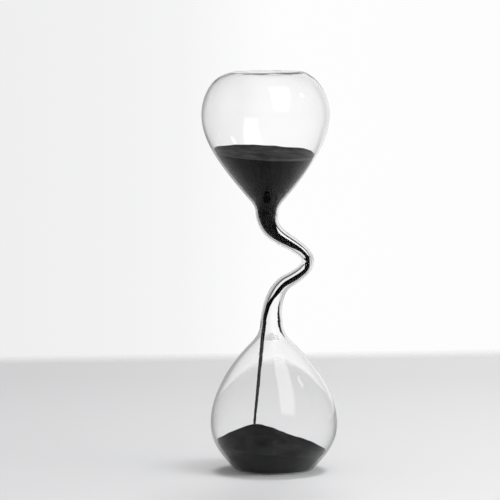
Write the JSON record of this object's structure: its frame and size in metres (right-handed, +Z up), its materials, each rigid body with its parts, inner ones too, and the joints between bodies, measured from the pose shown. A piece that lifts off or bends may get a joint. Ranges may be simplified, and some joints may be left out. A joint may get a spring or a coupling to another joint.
{
  "type": "hourglass",
  "caption": "Free-standing blown-glass hourglass with a bent neck; dark sand runs from the upper bulb onto a heap in the lower bulb.",
  "frame": {"origin": "on the table, at the middle of the rectangle that the hourglass covers seen from above; that lies 2.7 mm to the left of the lower bulb's axis and 2.4 mm to the right of the upper bulb's axis", "axes": "+Z up, from the flat base to the flat top end; +X towards the side that the elbow of the neck swings out to; +Y to the back, across the plane of the bend"},
  "size_m": [0.0812, 0.0764, 0.239],
  "materials": {
    "glass": "clear, fire-polished borosilicate glass, smooth and slightly wavy from blowing",
    "sand": "fine dry black sand, matt"
  },
  "bodies": {
    "glass": {"upper_bulb": "glass", "neck_tube": "glass", "lower_bulb": "glass", "base_seal": "glass", "neck_sand": "sand", "falling_stream": "sand"},
    "sand_to_run": {"upper_sand": "sand"},
    "sand_run": {"lower_sand": "sand"}
  },
  "joints": [
    {"name": "upper_sand_level", "type": "slide", "parent": "glass", "child": "sand_to_run", "axis": [0, 0, -1], "range_m": [0, 0.03], "deforming": ["upper_sand"]},
    {"name": "lower_sand_level", "type": "slide", "parent": "glass", "child": "sand_run", "axis": [0, 0, 1], "range_m": [0, 0.0105], "deforming": ["lower_sand", "falling_stream"]}
  ],
  "couplings": [
    {"joint": "lower_sand_level", "follows": "upper_sand_level", "ratio": 0.347}
  ]
}
